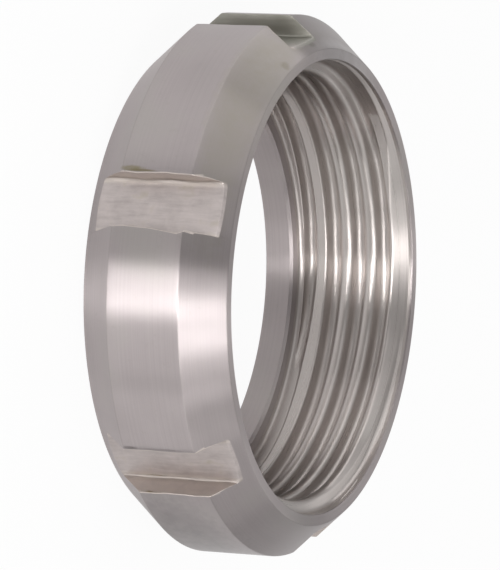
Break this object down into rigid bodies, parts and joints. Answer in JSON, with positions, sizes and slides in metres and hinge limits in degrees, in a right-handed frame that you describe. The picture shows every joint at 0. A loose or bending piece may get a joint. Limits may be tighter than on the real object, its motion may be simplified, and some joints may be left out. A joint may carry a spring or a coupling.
{
  "type": "pipe locknut",
  "caption": "Slotted round union nut: a stainless ring with a coarse round internal thread, an inward lip and open spanner slots round its rim.",
  "frame": {"origin": "middle of the back face, which is the flat face round the lip bore", "axes": "+Z along the thread's axis, out of the threaded mouth. +X through the middle of one spanner slot"},
  "size_m": [0.0836, 0.084, 0.0237],
  "materials": {
    "turned_steel": "satin turned stainless steel with fine tool marks"
  },
  "bodies": {
    "root": {"locknut": "turned_steel"}
  },
  "joints": []
}
